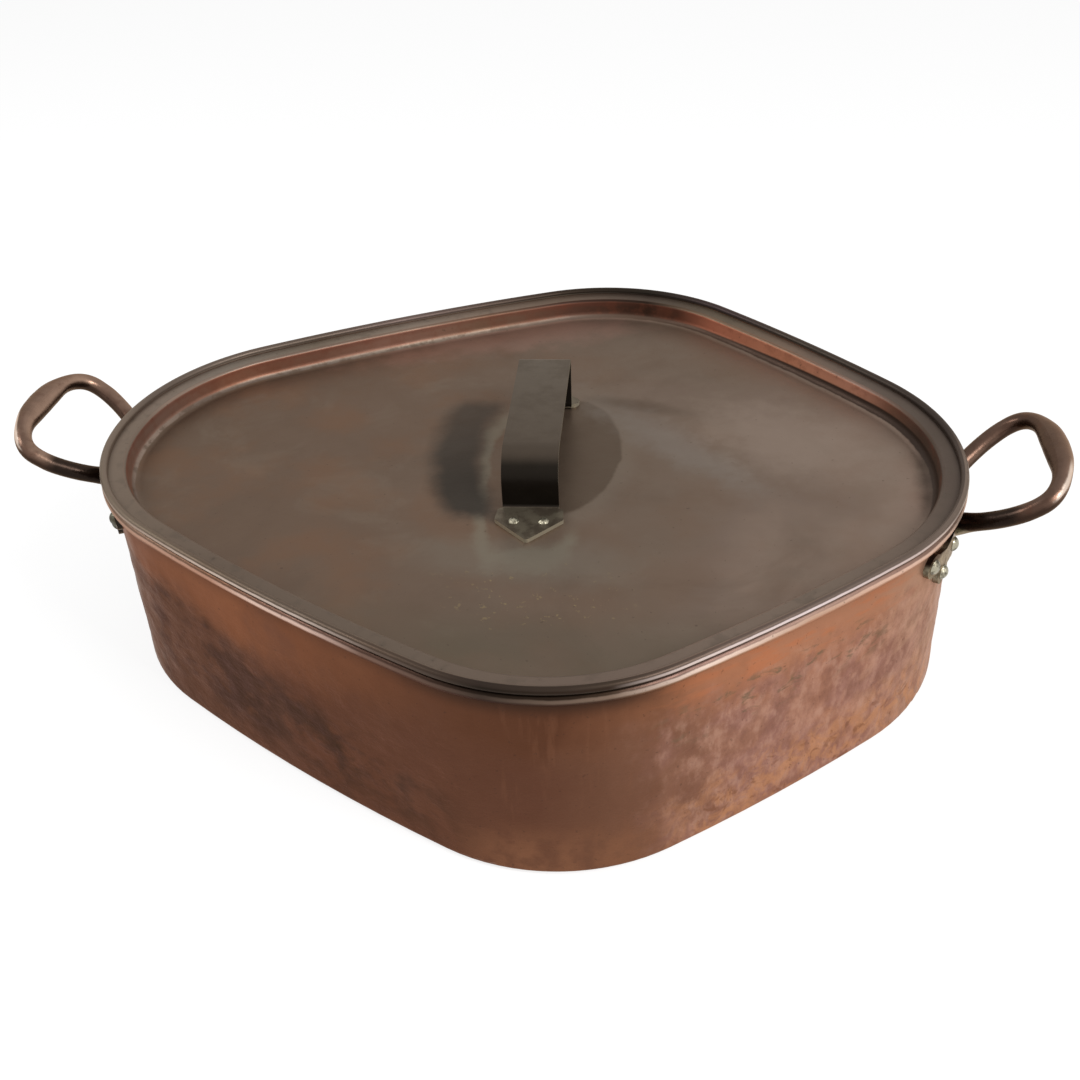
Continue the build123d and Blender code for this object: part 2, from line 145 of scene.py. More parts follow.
def rim_path():
    """points on the rim's outer edge, their outward normals and the distance along it"""
    sides = [side_arc(CORNERS[i], CORNERS[(i + 1) % 4]) for i in range(4)]
    points, normals = [], []
    for i, (corner_c, corner_r) in enumerate(CORNERS):
        side_c, side_start, side_turn = sides[i]
        corner_start = sides[i - 1][1] + sides[i - 1][2]
        corner_turn = (side_start - corner_start) % math.tau
        for centre, r, start, turn in ((corner_c, corner_r, corner_start, corner_turn),
                                       (side_c, SIDE_R, side_start, side_turn)):
            count = max(2, round(r * turn / STEP))
            around = start + turn * np.arange(count) / count
            way = np.stack([np.cos(around), np.sin(around)], 1)
            points.append(np.array(centre) + r * way)
            normals.append(way)
    points, normals = np.concatenate(points), np.concatenate(normals)
    gaps = np.linalg.norm(np.roll(points, -1, 0) - points, axis=1)
    return points, normals, np.concatenate([[0], np.cumsum(gaps)[:-1]]), gaps.sum()


def arc(centre, r, start, end, count):
    """points of an arc in a section, angles in degrees"""
    around = np.radians(np.linspace(start, end, count))
    return [(centre[0] + r * math.cos(a), centre[1] + r * math.sin(a)) for a in around]


def run(start, end, count):
    """points of a straight stretch of a section, without its end"""
    return [(start[0] + (end[0] - start[0]) * k / count, start[1] + (end[1] - start[1]) * k / count)
            for k in range(count)]


def rounded(points, radii, count):
    """a bent line through points, each inner corner rounded by an arc"""
    line = [points[0]]
    for before, at, after, r in zip(points, points[1:], points[2:], radii):
        a = np.array(before) - at
        b = np.array(after) - at
        a /= np.linalg.norm(a)
        b /= np.linalg.norm(b)
        half = math.acos(float(np.clip(a @ b, -1, 1))) / 2
        middle = np.array(at) + (a + b) / np.linalg.norm(a + b) * r / math.sin(half)
        start = np.array(at) + a * r / math.tan(half) - middle
        end = np.array(at) + b * r / math.tan(half) - middle
        first = math.atan2(start[1], start[0])
        turn = (math.atan2(end[1], end[0]) - first + math.pi) % math.tau - math.pi
        for k in range(count + 1):
            angle = first + turn * k / count
            line.append((middle[0] + r * math.cos(angle), middle[1] + r * math.sin(angle)))
    line.append(points[-1])
    return line


def thick_line(line, thickness):
    """under and upper face of a sheet whose middle is a line that runs inwards"""
    line = np.array(line)
    along = np.gradient(line, axis=0)
    along /= np.linalg.norm(along, axis=1)[:, None]
    across = np.stack([-along[:, 1], along[:, 0]], 1) * thickness / 2
    return line + across, line - across


# Unevenness left by the hand.
def smooth(low, high, x):
    """0 at low, 1 at high, smooth between"""
    t = np.clip((x - low) / (high - low), 0, 1)
    return t * t * (3 - 2 * t)


def ripples(u, v, size, seed, period=None):
    """smooth random waves of about one size over a surface, about -1 to 1"""
    rng = np.random.default_rng(seed)
    total = np.zeros_like(u)
    for _ in range(WAVE_COUNT):
        angle = rng.uniform(0, math.pi)
        length = size * rng.uniform(0.7, 1.6)
        across = math.cos(angle) / length
        if period:
            across = round(across * period) / period
        wave = u * across + v * math.sin(angle) / length
        total += np.sin(math.tau * wave + rng.uniform(0, math.tau))
    return total / WAVE_COUNT ** 0.5 / 1.6


def hammer_marks(u, v, low_v, high_v, length):
    """overlapping shallow dishes left by a hammer, 0 to 1 deep"""
    rng = np.random.default_rng(MARK_SEED)
    depth = np.zeros_like(u)
    rows = int((high_v - low_v) / MARK_PITCH)
    columns = int(length / MARK_PITCH)
    for row in range(rows + 1):
        for column in range(columns):
            mark_u = (column + 0.5 * (row % 2)) * MARK_PITCH + rng.normal(0, 0.25) * MARK_PITCH
            mark_v = low_v + row * MARK_PITCH + rng.normal(0, 0.25) * MARK_PITCH
            r = MARK_PITCH * rng.uniform(0.55, 1.0)
            strength = rng.uniform(0.25, 1)
            du = np.abs(u - mark_u % length)
            near = np.minimum(du, length - du) ** 2 + (v - mark_v) ** 2
            hit = near < r * r
            depth[hit] = np.maximum(depth[hit], strength * (1 - near[hit] / (r * r)) ** 1.5)
    return depth


# Meshes.
def mesh_object(name, verts, faces, body, node):
    """a shaded mesh that rides on a body and stands for a CAD node"""
    mesh = bpy.data.meshes.new(name)
    mesh.from_pydata([tuple(v) for v in verts], [], [tuple(int(i) for i in f) for f in faces])
    mesh.validate()
    mesh.update()
    obj = bpy.data.objects.new(name, mesh)
    bpy.context.scene.collection.objects.link(obj)
    for polygon in mesh.polygons:
        polygon.use_smooth = True
    mesh.set_sharp_from_angle(angle=SHARP_ANGLE)
    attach(obj, body)
    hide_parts(node)
    return obj


def join_rings(a, b, count, flip=False):
    """quads between two closed rows of vertices that start at a and b"""
    faces = []
    for k in range(count):
        m = (k + 1) % count
        quad = (a + k, a + m, b + m, b + k)
        faces.append(quad[::-1] if flip else quad)
    return faces


def grid_faces(rows, count, closed):
    """quads of rows of count vertices, the last row joined to the first if closed"""
    faces = []
    for i in range(rows if closed else rows - 1):
        faces += join_rings(i * count, (i + 1) % rows * count, count)
    return faces


def sweep_rim(section, press=None):
    """vertices of a section carried round the rim: row by row of the section.
    press(s, z, length) gives how far the vertices at one height are pushed inwards"""
    points, normals, s, length = rim_path()
    rows = []
    for out, z in section:
        push = press(s, z, length) if press else 0 * s
        rows.append(np.column_stack([points + normals * (out - push)[:, None], np.full(len(points), z)]))
    return np.concatenate(rows), len(points)


def hammered_wall():
    """pan wall and its rolled edge, one closed section, hammered on its outer side"""
    foot_in = (-WALL_FOOT_INSET - PAN_SHEET, SEAM_Z)
    foot_out = (-WALL_FOOT_INSET, SEAM_Z)
    top_in = (-WALL_TOP_INSET - PAN_SHEET, BEAD_Z)
    bead_meets = math.degrees(math.acos((BEAD_R - WALL_TOP_INSET) / BEAD_R))
    bead_end = (-WALL_TOP_INSET, BEAD_Z - BEAD_R * math.sin(math.radians(bead_meets)))
    outer_run = run(bead_end, foot_out, WALL_ROWS) + [foot_out]
    bead = arc((-BEAD_R, BEAD_Z), BEAD_R, 180, -bead_meets, ARC_POINTS)[:-1]
    section = run(foot_in, top_in, WALL_ROWS // 2) + bead + outer_run
    heights = [z for _, z in outer_run[1:]]
    _, _, distance, rim_length = rim_path()
    marks = hammer_marks(*np.meshgrid(distance, heights), SEAM_Z, HAMMERED_TOP, rim_length)
    marks_at = dict(zip(heights, marks))

    def press(s, z, length):
        if z not in marks_at:
            return 0 * s
        level = np.full_like(s, z)
        fade = smooth(HAMMERED_TOP, HAMMERED_FULL, level) * smooth(SEAM_Z - 1 * MM, SEAM_Z + 10 * MM, level)
        waves = 0.5 + 0.5 * ripples(s, level, WALL_WAVE, WALL_SEED, length)
        return (waves * WALL_WAVE_DEPTH + marks_at[z] * MARK_DEPTH) * fade

    verts, count = sweep_rim(section, press)
    faces = grid_faces(len(section), count, True)
    return mesh_object("pan_wall_hammered", verts, faces, "pan", "pan_wall")


def panel_disc(z, first, up):
    """rings from the well's edge to the panel's middle, gently uneven"""
    points, normals, _, _ = rim_path()
    edge = points + normals * PANEL_START
    count = len(points)
    rings = []
    for ring in range(1, RINGS + 1):
        part = 1 - ring / (RINGS + 1)
        plan = PANEL_CENTRE + (edge - PANEL_CENTRE) * part
        waves = ripples(plan[:, 0], plan[:, 1], PANEL_WAVE, PANEL_SEED) * smooth(0, 0.2, 1 - part)
        calm = 1 - np.exp(-(plan[:, 0] - STRAP_X) ** 2 / (2 * STRAP_CALM ** 2))
        rings.append(np.column_stack([plan, z + waves * PANEL_WAVE_DEPTH * calm]))
    rings.append(np.array([[*PANEL_CENTRE, z]]))
    faces = []
    for ring in range(RINGS - 1):
        faces += join_rings(first + ring * count, first + (ring + 1) * count, count, not up)
    last, middle = first + (RINGS - 1) * count, first + RINGS * count
    for k in range(count):
        tri = (last + k, last + (k + 1) % count, middle)
        faces.append(tri if up else tri[::-1])
    return np.concatenate(rings), faces


def lid_sheet():
    """lid: rolled edge, flange, well and sunk panel"""
    flange_z = RIM_TOP + LID_GAP + LID_SHEET / 2
    panel_z = PANEL_TOP - LID_SHEET / 2
    well = rounded([(-ROLL_INSET - ROLL_R * 0.7, flange_z), (-FLANGE_INSET, flange_z),
                    (-FLANGE_INSET - WELL_LEAN, panel_z), (PANEL_START, panel_z)],
                   (FLANGE_BEND_R, WELL_BEND_R), BEND_POINTS)
    under, over = thick_line(well, LID_SHEET)
    roll_start = 180 - math.degrees(math.asin((over[0][1] - ROLL_Z) / ROLL_R))
    roll_end = -180 - math.degrees(math.asin((under[0][1] - ROLL_Z) / ROLL_R))
    roll = arc((-ROLL_INSET, ROLL_Z), ROLL_R, roll_start, roll_end, ARC_POINTS)
    skin = [tuple(p) for p in over[::-1]] + roll + [tuple(p) for p in under]
    edge_verts, count = sweep_rim(skin)
    top_first = len(edge_verts)
    top_verts, top_faces = panel_disc(PANEL_TOP, top_first, True)
    low_first = top_first + len(top_verts)
    low_verts, low_faces = panel_disc(PANEL_TOP - LID_SHEET, low_first, False)
    faces = grid_faces(len(skin), count, False) + top_faces + low_faces
    faces += join_rings(0, top_first, count)
    faces += join_rings((len(skin) - 1) * count, low_first, count, True)
    verts = np.concatenate([edge_verts, top_verts, low_verts])
    return mesh_object("lid_sheet", verts, faces, "lid", "lid_panel")


# Materials. Places are in metres in the kettle's frame, colours in screen values from 0 to 255.
def linear(r, g, b):
    """colour written as 0 to 255 screen values, in linear light"""
    parts = [c / 255 for c in (r, g, b)]
    return tuple(c / 12.92 if c <= 0.04 else ((c + 0.055) / 1.055) ** 2.4 for c in parts) + (1,)


class Nodes:
    """short calls for building a material's node tree"""

    def __init__(self, name):
        self.material = bpy.data.materials.new(name)
        self.material.use_nodes = True
        self.tree = self.material.node_tree
        self.shader = next(n for n in self.tree.nodes if n.type == "BSDF_PRINCIPLED")
        self.where = self.add("ShaderNodeTexCoord").outputs["Object"]
        self.normal = self.add("ShaderNodeTexCoord").outputs["Normal"]
        place = self.add("ShaderNodeSeparateXYZ", {0: self.where})
        self.x, self.y, self.z = place.outputs[:3]
        facing = self.add("ShaderNodeSeparateXYZ", {0: self.normal})
        self.facing_x, _, self.up = facing.outputs[:3]

    def add(self, kind, inputs=(), **settings):
        """a node with its settings and inputs, each input a value or another node's output"""
        node = self.tree.nodes.new(kind)
        for key, value in settings.items():
            setattr(node, key, value)
        for key, value in dict(inputs).items():
            self.put(node.inputs[key], value)
        return node

    def put(self, socket, value):
        """set a socket to a value, or link it to an output"""
        if isinstance(value, bpy.types.NodeSocket):
            self.tree.links.new(value, socket)
        else:
            socket.default_value = value

    def math(self, operation, a, b=0.0, c=0.0):
        """result of a sum on values or outputs"""
        node = self.add("ShaderNodeMath", operation=operation)
        for socket, value in zip(node.inputs, (a, b, c)):
            self.put(socket, value)
        return node.outputs[0]

    def vector(self, operation, inputs, output="Vector"):
        """result of a sum on vectors"""
        return self.add("ShaderNodeVectorMath", inputs, operation=operation).outputs[output]

    def both(self, *masks):
        """product of masks and shares"""
        product = masks[0]
        for mask in masks[1:]:
            product = self.math("MULTIPLY", product, mask)
        return product

    def mix(self, factor, a, b):
        """colour a, turning into b as factor goes from 0 to 1"""
        node = self.add("ShaderNodeMix", data_type="RGBA")
        for socket, value in zip((node.inputs[0], node.inputs[6], node.inputs[7]), (factor, a, b)):
            self.put(socket, value)
        return node.outputs[2]

    def laid(self, colour, rgb, *masks):
        """a colour with another laid over it, as far as the product of the masks"""
        return self.mix(self.both(*masks), colour, linear(*rgb))

    def span(self, value, low, high, to_low=0.0, to_high=1.0):
        """to_low where a value is at low, to_high where it is at high, smooth between"""
        inputs = {"Value": value, "From Min": low, "From Max": high, "To Min": to_low, "To Max": to_high}
        return self.add("ShaderNodeMapRange", inputs, interpolation_type="SMOOTHSTEP").outputs[0]

    def ramp(self, value, *stops):
        """colour that changes along a value: pairs of value and colour"""
        low, high = stops[0][0], stops[-1][0]
        part = self.add("ShaderNodeMapRange", {"Value": value, "From Min": low, "From Max": high}).outputs[0]
        node = self.add("ShaderNodeValToRGB", {0: part})
        elements = node.color_ramp.elements
        for k, (at, colour) in enumerate(stops):
            place = (at - low) / (high - low)
            element = elements[k] if k < 2 else elements.new(place)
            element.position = place
            element.color = linear(*colour)
        return node.outputs[0]

    def stretched(self, x, y, z):
        """the object's coordinates scaled, so that noise is longer where the scale is less"""
        return self.add("ShaderNodeMapping", {"Vector": self.where, "Scale": (x, y, z)}).outputs[0]

    def noise(self, size, detail=3, roughness=0.5, where=None, distortion=0):
        """noise whose features are about size metres, 0 to 1"""
        inputs = {"Vector": where or self.where, "Scale": 1 / size, "Detail": detail,
                  "Roughness": roughness, "Distortion": distortion}
        return self.add("ShaderNodeTexNoise", inputs).outputs[0]

    def wander(self, value, size, reach):
        """a value moved up and down by noise, by reach at most"""
        return self.math("ADD", value, self.span(self.noise(size, 4, 0.6), 0.15, 0.85, -reach, reach))

    def patch(self, x, y, reach_x, reach_y, turn, rough, square=False):
        """distance from the middle of a patch seen from above, 1 at its outline, sizes in millimetres"""
        inputs = {"Vector": self.where, "Location": (x * MM, y * MM, 0),
                  "Rotation": (0, 0, math.radians(turn)), "Scale": (reach_x * MM, reach_y * MM, 1000)}
        inside = self.add("ShaderNodeMapping", inputs, vector_type="TEXTURE").outputs[0]
        if square:
            for _ in range(2):
                inside = self.vector("MULTIPLY", {0: inside, 1: inside})
            far = self.math("POWER", self.vector("DOT_PRODUCT", {0: inside, 1: (1, 1, 0)}, "Value"), 0.25)
        else:
            far = self.vector("LENGTH", {0: inside}, "Value")
        return self.wander(far, 0.02, rough)

    def inwards(self):
        """1 where the surface looks towards the middle of the kettle, seen in plan"""
        outwards = self.vector("DOT_PRODUCT", {0: self.normal, 1: self.where}, "Value")
        return self.span(self.math("SUBTRACT", outwards, self.both(self.up, self.z)), -0.015, -0.05)

    def bump(self, height, distance, below=None):
        """a bumped normal, on top of another one"""
        inputs = {"Height": height, "Distance": distance, "Strength": 1.0}
        if below is not None:
            inputs["Normal"] = below
        return self.add("ShaderNodeBump", inputs).outputs[0]

    def finish(self, colour, roughness, normal, metallic=1.0, gloss=0.5, tint=(255, 255, 255)):
        """the shader's own sockets, and the finished material"""
        values = {"Base Color": colour, "Roughness": roughness, "Metallic": metallic, "Normal": normal,
                  "Specular IOR Level": gloss, "Specular Tint": linear(*tint)}
        for name, value in values.items():
            self.put(self.shader.inputs[name], value)
        return self.material


def worn_tin(n):
    """dull tin lining"""
    return n.mix(n.span(n.noise(0.03, 5, 0.6), 0.35, 0.65), linear(150, 144, 134), linear(116, 106, 94))


def near_side(n):
    """1 on the near half of the rim, 0 on the far half"""
    return n.span(n.y, 0.045, 0.0)


# Pan's copper.
def pink_side(n):
    """1 to the right of the front corner, where the wall is pink"""
    return n.span(n.x, 0.085, 0.135)


def wrinkles(n):
    """fine scale on the pan's left side"""
    return n.noise(0.006, 5, 0.6, where=n.stretched(0.72, 0.72, 1.1), distortion=0.2)


def mottle(n):
    """fine spots on the pan's right side"""
    return n.noise(0.0065, 5, 0.6, where=n.stretched(1, 1, 0.6))


def wall_tone_and_painted_light(n):
    """brown and darker to the left of the front corner, darkest at the corner, pink and lighter to the right
    of it, lighter below the bead; the darker left and corner and the lighter right are painted shade and
    light
    """
    along = n.wander(n.x, 0.05, 0.02)
    # Painted shade darkens the left side and the front corner; painted light brightens the right side.
    low = n.ramp(along, (-0.26, (84, 60, 47)), (-0.1, (90, 57, 42)), (0.03, (94, 60, 45)),
                 (0.07, (104, 70, 53)), (0.1, (114, 78, 60)), (0.13, (148, 106, 87)),
                 (0.2, (162, 116, 96)), (0.262, (168, 138, 118)))
    high = n.ramp(along, (-0.26, (112, 72, 53)), (-0.14, (130, 82, 57)), (-0.02, (96, 60, 42)),
                  (0.05, (88, 54, 37)), (0.1, (122, 80, 57)), (0.14, (172, 116, 86)), (0.21, (164, 116, 90)),
                  (0.262, (166, 138, 118)))
    height = n.wander(n.z, 0.07, 0.016)
    return n.mix(n.span(height, NECK_Z - 56 * MM, NECK_Z - 18 * MM), low, high)


def dark_scale_and_reflection(n, colour):
    """dark scale on the hammered lower half, left of the front corner, partly a painted dark reflection, with
    spots that follow the bumps as painted shade
    """
    left = n.span(n.x, 0.02, -0.05)
    height = n.wander(n.z, 0.07, 0.016)
    reach = n.math("SUBTRACT", n.span(n.x, -0.24, 0.0, 0.1, 0.05), height)
    scale_and_reflection_band = n.both(n.span(reach, -0.012, 0.02), n.span(height, 0.004, 0.03, 0.35, 1))
    scale = n.noise(0.024, 5, 0.55, where=n.stretched(0.72, 0.72, 1.1), distortion=0.2)
    # Partly real scale, partly painted dark reflection on the lower left.
    colour = n.laid(colour, (56, 39, 28), n.span(scale, 0.42, 0.6), scale_and_reflection_band, left, 0.9)
    # Spots that follow the wrinkle bumps are painted shade of the hammer marks.
    colour = n.laid(colour, (54, 38, 30), n.span(wrinkles(n), 0.46, 0.66), scale_and_reflection_band, left, 0.35)
    return n.laid(colour, (98, 68, 58), n.span(n.noise(0.05, 4, 0.6), 0.5, 0.7), left, 0.35)


def pink_mottling(n, colour):
    """mauve and pink spots on the hammered right side, the fine spots following the bumps as painted light
    and shade, with an ochre foot
    """
    beaten = n.both(n.span(n.wander(n.x, 0.03, 0.015), 0.08, 0.135),
                    n.span(n.wander(n.z, 0.04, 0.014), 0.11, 0.085))
    mauve = n.noise(0.034, 5, 0.62, distortion=0.5)
    blotch = n.noise(0.017, 5, 0.6, distortion=0.3)
    spots = mottle(n)
    # The fine spots follow the bump pattern: painted light and shade of the hammer marks, over mottled
    # patina.
    for rgb, pattern, low, high, share in (((146, 106, 98), mauve, 0.42, 0.62, 0.6),
                                           ((128, 88, 74), blotch, 0.48, 0.68, 0.5),
                                           ((186, 142, 122), blotch, 0.52, 0.3, 0.45),
                                           ((118, 80, 66), spots, 0.45, 0.72, 0.45),
                                           ((192, 152, 132), spots, 0.54, 0.3, 0.4)):
        colour = n.laid(colour, rgb, n.span(pattern, low, high), beaten, share)
    foot = n.both(pink_side(n), n.span(n.wander(n.z, 0.02, 0.012), 0.05, 0.022))
    ochre = n.span(n.noise(0.012, 5, 0.62, distortion=0.8), 0.4, 0.62)
    pits = n.span(n.noise(0.008, 4, 0.6, distortion=0.8), 0.55, 0.68)
    colour = n.laid(colour, (188, 134, 94), ochre, foot, 0.6)
    return n.laid(colour, (116, 74, 52), pits, foot, 0.6)


def border_stains(n, colour):
    """rust and green stains in the border under the right rim"""
    right = pink_side(n)
    rust = n.noise(0.009, 4, 0.6, where=n.stretched(0.3, 0.3, 1.3), distortion=0.3)
    colour = n.laid(colour, (182, 110, 72), n.span(rust, 0.46, 0.62), n.span(n.z, 0.094, 0.106), right,
                    n.span(n.x, 0.25, 0.2, 0, 0.65), 0.75)
    stain = n.noise(0.011, 4, 0.62, where=n.stretched(0.7, 0.7, 1.5), distortion=0.4)
    border = n.both(n.span(n.z, 0.068, 0.082), n.span(n.z, 0.112, 0.096))
    return n.laid(colour, (104, 90, 70), n.span(stain, 0.54, 0.66), border, right,
                  n.span(n.x, 0.24, 0.2), 0.7)


def front_corner(n, colour):
    """worn foot and faint streaks at the front corner, and painted shade under the bead, deepest about the
    corner
    """
    worn_foot = n.both(n.span(n.z, 0.045, 0.012), n.span(n.x, -0.02, 0.03), n.span(n.x, 0.12, 0.08))
    colour = n.laid(colour, (130, 88, 64), worn_foot, n.span(n.noise(0.02, 4, 0.6), 0.35, 0.6, 0.2, 0.8))
    streaks = n.span(n.noise(0.007, 4, 0.6, where=n.stretched(1, 1, 0.12)), 0.5, 0.68, 0, 0.26)
    streaked = n.both(streaks, n.span(n.x, 0.0, 0.03), n.span(n.x, 0.16, 0.1))
    colour = n.mix(streaked, colour, n.mix(pink_side(n), linear(126, 84, 62), linear(120, 84, 66)))
    # Painted shade under the bead, strongest about the front corner.
    corner = n.both(n.span(n.x, -0.08, 0.0), n.span(n.x, 0.12, 0.08))
    under_bead_shade = n.math("MAXIMUM", corner, n.span(n.x, 0.12, 0.05, 0.15, 0.4))
    return n.laid(colour, (52, 36, 28), n.span(n.z, NECK_Z - 14 * MM, NECK_Z - 1 * MM, 0, 0.85), under_bead_shade)


def pan_edge(n, colour):
    """rolled edge: a painted highlight on its outer side, painted shade above, where the lid rests on it, and
    below
    """
    # Painted shade on top of the bead, in the gap under the lid's roll.
    top = n.ramp(n.x, (-0.265, (116, 100, 88)), (-0.205, (112, 90, 76)), (-0.15, (100, 72, 56)),
                 (-0.095, (100, 76, 66)), (-0.042, (72, 53, 45)), (0.017, (32, 25, 20)), (0.08, (46, 35, 27)),
                 (0.125, (110, 86, 78)), (0.176, (140, 114, 102)), (0.224, (134, 106, 94)),
                 (0.265, (96, 80, 70)))
    # Painted highlight along the bead's outer side.
    painted_crest_highlight = n.ramp(n.x, (-0.265, (132, 120, 106)), (-0.205, (186, 150, 131)), (-0.15, (186, 143, 122)),
                   (-0.12, (226, 196, 180)), (-0.085, (214, 184, 170)), (-0.05, (122, 96, 84)),
                   (0.017, (64, 53, 46)), (0.08, (124, 104, 90)), (0.125, (232, 207, 191)),
                   (0.176, (190, 156, 134)), (0.224, (214, 178, 158)), (0.265, (186, 166, 150)))
    # Painted shade on the bead's underside.
    under = n.ramp(n.x, (-0.265, (110, 92, 78)), (-0.205, (116, 80, 62)), (-0.15, (112, 68, 45)),
                   (-0.095, (108, 69, 52)), (-0.042, (74, 50, 41)), (0.017, (44, 33, 27)),
                   (0.08, (62, 46, 37)), (0.125, (160, 120, 92)), (0.176, (182, 136, 110)),
                   (0.224, (164, 122, 98)), (0.265, (132, 112, 98)))
    worn = n.wander(n.up, 0.018, 0.08)
    rolled = n.mix(n.span(worn, 0.36, 0.62), painted_crest_highlight, n.mix(near_side(n), linear(60, 50, 44), top))
    rolled = n.mix(n.span(worn, 0.12, -0.35), rolled, under)
    return n.mix(n.span(n.z, BEAD_Z - 3.4 * MM, BEAD_Z - 2.9 * MM), colour, rolled)


def pan_copper():
    """aged copper of the pan, with painted light and shade, tin inside it"""
    n = Nodes("aged_copper_pan")
    colour = wall_tone_and_painted_light(n)
    for layer in (dark_scale_and_reflection, pink_mottling, border_stains, front_corner, pan_edge):
        colour = layer(n, colour)
    colour = n.laid(colour, (52, 40, 34), n.span(n.noise(0.0022, 2, 0.5), 0.68, 0.74, 0, 0.4))
    lined_wall = n.both(n.inwards(), n.span(n.z, BEAD_Z, BEAD_Z - 4 * MM))
    lined_base = n.both(n.span(n.up, 0.4, 0.6), n.span(n.z, 0.02, 0.015))
    colour = n.mix(n.math("MAXIMUM", lined_wall, lined_base), colour, worn_tin(n))
    rough = n.span(n.noise(0.02, 5, 0.6), 0.3, 0.7, 0.3, 0.46)
    beaten = n.span(n.z, HAMMERED_TOP, 0.08)
    dents = n.noise(0.011, 3, 0.5, where=n.stretched(0.6, 0.6, 1.1))
    ridges = n.mix(pink_side(n), wrinkles(n), mottle(n))
    normal = n.bump(n.both(dents, beaten), 0.001)
    normal = n.bump(n.both(ridges, beaten), 0.0006, below=normal)
    normal = n.bump(n.noise(0.0015, 3, 0.6), 0.00005, below=normal)
    return n.finish(colour, rough, normal, 0.6, 0.22, (220, 176, 150))


# Lid's copper.
def panel_tone(n):
    """grey brown, lighter to the right as painted light, warmer at the left, with soft clouds"""
    along = n.math("ADD", n.x, n.span(n.noise(0.08, 4), 0.2, 0.8, -0.06, 0.06))
    # Painted light: the panel grows lighter to the right.
    colour = n.ramp(along, (-0.26, (94, 77, 64)), (-0.1, (97, 79, 66)), (0.06, (102, 87, 75)),
                    (0.14, (109, 93, 82)), (0.2, (122, 105, 93)), (0.25, (128, 108, 96)))
    dark_clouds = n.noise(0.09, 6, 0.62, distortion=0.7)
    pale_clouds = n.noise(0.05, 6, 0.65, distortion=0.6)
    colour = n.laid(colour, (84, 69, 58), n.span(dark_clouds, 0.48, 0.72), 0.42)
    colour = n.laid(colour, (112, 99, 86), n.span(pale_clouds, 0.5, 0.72), 0.38)
    colour = n.laid(colour, (112, 82, 62), n.span(n.noise(0.06, 4, 0.6), 0.42, 0.66),
                    n.span(n.x, 0.06, -0.12, 0.15, 0.45))
    olive = n.span(n.noise(0.05, 4), 0.3, 0.6, 0.3, 0.8)
    return n.laid(colour, (88, 79, 66), n.span(n.y, -0.13, -0.19), olive)


def strap_halo_and_shadows(n, colour):
    """pale where the strap's feet were tinned on, with the strap's shadow painted dark beside it on both
    sides
    """
    halo = n.patch(6, -20, 28, 78, 7, 0.1, square=True)
    seen = n.math("MAXIMUM", n.span(n.x, 0.012, -0.005), n.span(n.y, -0.06, -0.08))
    colour = n.laid(colour, (122, 116, 101), n.span(halo, 0.84, 0.98), n.span(halo, 1.24, 1.02), seen, 0.55)
    colour = n.laid(colour, (112, 105, 94), n.span(n.patch(14, -98, 62, 20, 0, 0.3), 1.5, 0.4), 0.4)
    # The painted shadow left of the strap bends with a line from its far end to its near one.
    bend = n.math("MULTIPLY_ADD", n.y, n.math("MULTIPLY_ADD", n.y, 2.99, -0.197), -0.0431)
    across = n.wander(n.math("ABSOLUTE", n.math("SUBTRACT", n.x, bend)), 0.025, 0.003)
    length = n.wander(n.math("ABSOLUTE", n.math("SUBTRACT", n.y, 0.008)), 0.02, 0.004)
    colour = n.laid(colour, (44, 40, 36), n.span(across, 0.024, 0.007), n.span(length, 0.078, 0.058),
                    n.span(n.y, 0.07, -0.03, 0.75, 0.97))
    # Painted shadow of the strap on its right, in a paler surround.
    right_shadow_patch = n.patch(15, 15, 43, 72, 0, 0.03)
    right = n.span(n.x, 0.0, 0.01)
    colour = n.laid(colour, (122, 112, 100), n.span(right_shadow_patch, 1.4, 1.02), right, 0.3)
    return n.laid(colour, (80, 66, 54), n.span(right_shadow_patch, 1.03, 0.97), right, 0.85)


def panel_marks(n, colour):
    """smears, painted shade along the right edge and ochre crumbs"""
    marks = (((80, 66, 55), (62, 82, 40, 7, -12, 0.35), 1.5, 0.4, 0.6),
             ((120, 112, 105), (90, 34, 74, 16, -42, 0.5), 1.6, 0.2, 0.5),
             ((134, 104, 92), (-50, 176, 110, 26, 20, 0.4), 1.5, 0.4, 0.6),
             ((138, 122, 110), (160, 48, 60, 36, -30, 0.4), 1.6, 0.3, 0.55))
    for rgb, patch, outline, middle, share in marks:
        colour = n.laid(colour, rgb, n.span(n.patch(*patch), outline, middle), share)
    # Painted shade along the panel's right edge, by the well.
    colour = n.laid(colour, (58, 47, 41), n.span(n.wander(n.x, 0.02, 0.003), 0.233, 0.246), 0.8)
    near_front = n.span(n.patch(30, -130, 55, 30, 0, 0.3), 1.2, 0.6)
    return n.laid(colour, (134, 118, 86), n.span(n.noise(0.0045, 3, 0.6), 0.62, 0.7), near_front, 0.7)


